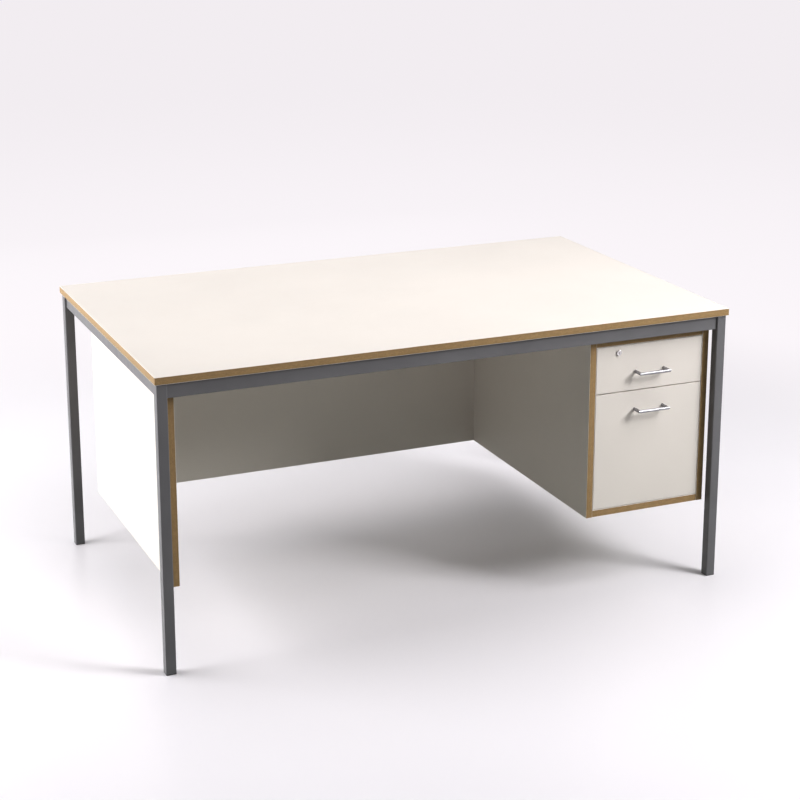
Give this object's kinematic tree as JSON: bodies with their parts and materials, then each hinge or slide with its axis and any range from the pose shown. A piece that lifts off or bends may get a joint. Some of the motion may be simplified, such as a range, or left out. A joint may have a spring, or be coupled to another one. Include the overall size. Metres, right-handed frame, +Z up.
{
  "type": "teacher desk",
  "caption": "Rectangular teacher desk: white laminated top on a grey square-tube frame, end and modesty panels, and a hung lockable pedestal with a box drawer over a filing drawer.",
  "frame": {"origin": "on the floor, under the centre of the top", "axes": "+X towards the pedestal end, -Y towards the sitter and the drawer fronts, +Z up"},
  "size_m": [1.5, 0.9, 0.725],
  "materials": {
    "white_laminate": "satin high-pressure laminate",
    "mdf": "sealed MDF edge",
    "grey_powder_coat": "satin powder coat",
    "black_plastic": "moulded",
    "zinc_steel": "zinc plated",
    "satin_chrome": "satin",
    "nickel": "nickel plated",
    "beech": "raw",
    "white_board": "white melamine"
  },
  "bodies": {
    "desk": {"cabinet_runners": "zinc_steel", "carcass_cams": "zinc_steel", "carcass_dowels": "beech", "chipboard_screws": "zinc_steel", "desktop_core": "mdf", "desktop_laminates": "white_laminate", "end_panel_core": "mdf", "end_panel_laminates": "white_laminate", "end_panel_spacers": "black_plastic", "foot_inserts": "black_plastic", "leg_front_left": "grey_powder_coat", "leg_front_right": "grey_powder_coat", "leg_rear_left": "grey_powder_coat", "leg_rear_right": "grey_powder_coat", "lock_striker": "zinc_steel", "machine_screws": "zinc_steel", "modesty_panel_core": "mdf", "modesty_panel_laminates": "white_laminate", "panel_brackets": "zinc_steel", "pedestal_back": "white_board", "pedestal_bottom_core": "mdf", "pedestal_deck_laminates": "white_laminate", "pedestal_hanger_inner": "grey_powder_coat", "pedestal_hanger_outer": "grey_powder_coat", "pedestal_side_left_core": "mdf", "pedestal_side_left_laminates": "white_laminate", "pedestal_side_right_core": "mdf", "pedestal_side_right_laminates": "white_laminate", "pedestal_top_core": "mdf", "rail_front": "grey_powder_coat", "rail_left": "grey_powder_coat", "rail_rear": "grey_powder_coat", "rail_right": "grey_powder_coat", "rivet_nuts": "zinc_steel", "runner_screws": "zinc_steel", "top_fixing_lugs": "grey_powder_coat"},
    "upper_drawer": {"upper_drawer_back": "white_board", "upper_drawer_bottom": "white_board", "upper_drawer_runners": "zinc_steel", "upper_drawer_screws": "zinc_steel", "upper_drawer_side_left": "white_board", "upper_drawer_side_right": "white_board", "upper_front_core": "white_board", "upper_front_laminates": "white_laminate", "upper_handle": "satin_chrome", "lock_housing": "nickel"},
    "upper_slides": {"upper_middle_runners": "zinc_steel"},
    "lower_drawer": {"lower_drawer_back": "white_board", "lower_drawer_bottom": "white_board", "lower_drawer_runners": "zinc_steel", "lower_drawer_screws": "zinc_steel", "lower_drawer_side_left": "white_board", "lower_drawer_side_right": "white_board", "lower_front_core": "white_board", "lower_front_laminates": "white_laminate", "lower_handle": "satin_chrome", "filing_rails": "zinc_steel"},
    "lower_slides": {"lower_middle_runners": "zinc_steel"},
    "lock_cylinder": {"lock_plug": "nickel", "lock_cam": "nickel"}
  },
  "joints": [
    {"name": "upper_drawer_slide", "type": "slide", "parent": "desk", "child": "upper_drawer", "axis": [0, -1, 0], "range_m": [0, 0.48]},
    {"name": "upper_runner_slide", "type": "slide", "parent": "desk", "child": "upper_slides", "axis": [0, -1, 0], "range_m": [0, 0.24]},
    {"name": "lower_drawer_slide", "type": "slide", "parent": "desk", "child": "lower_drawer", "axis": [0, -1, 0], "range_m": [0, 0.48]},
    {"name": "lower_runner_slide", "type": "slide", "parent": "desk", "child": "lower_slides", "axis": [0, -1, 0], "range_m": [0, 0.24]},
    {"name": "lock_turn", "type": "hinge", "parent": "upper_drawer", "child": "lock_cylinder", "pos_m": [0.453, -0.4, 0.6335], "axis": [0, 1, 0], "range_deg": [0, 45]}
  ],
  "couplings": [
    {"joint": "upper_runner_slide", "follows": "upper_drawer_slide", "ratio": 0.5},
    {"joint": "lower_runner_slide", "follows": "lower_drawer_slide", "ratio": 0.5}
  ]
}
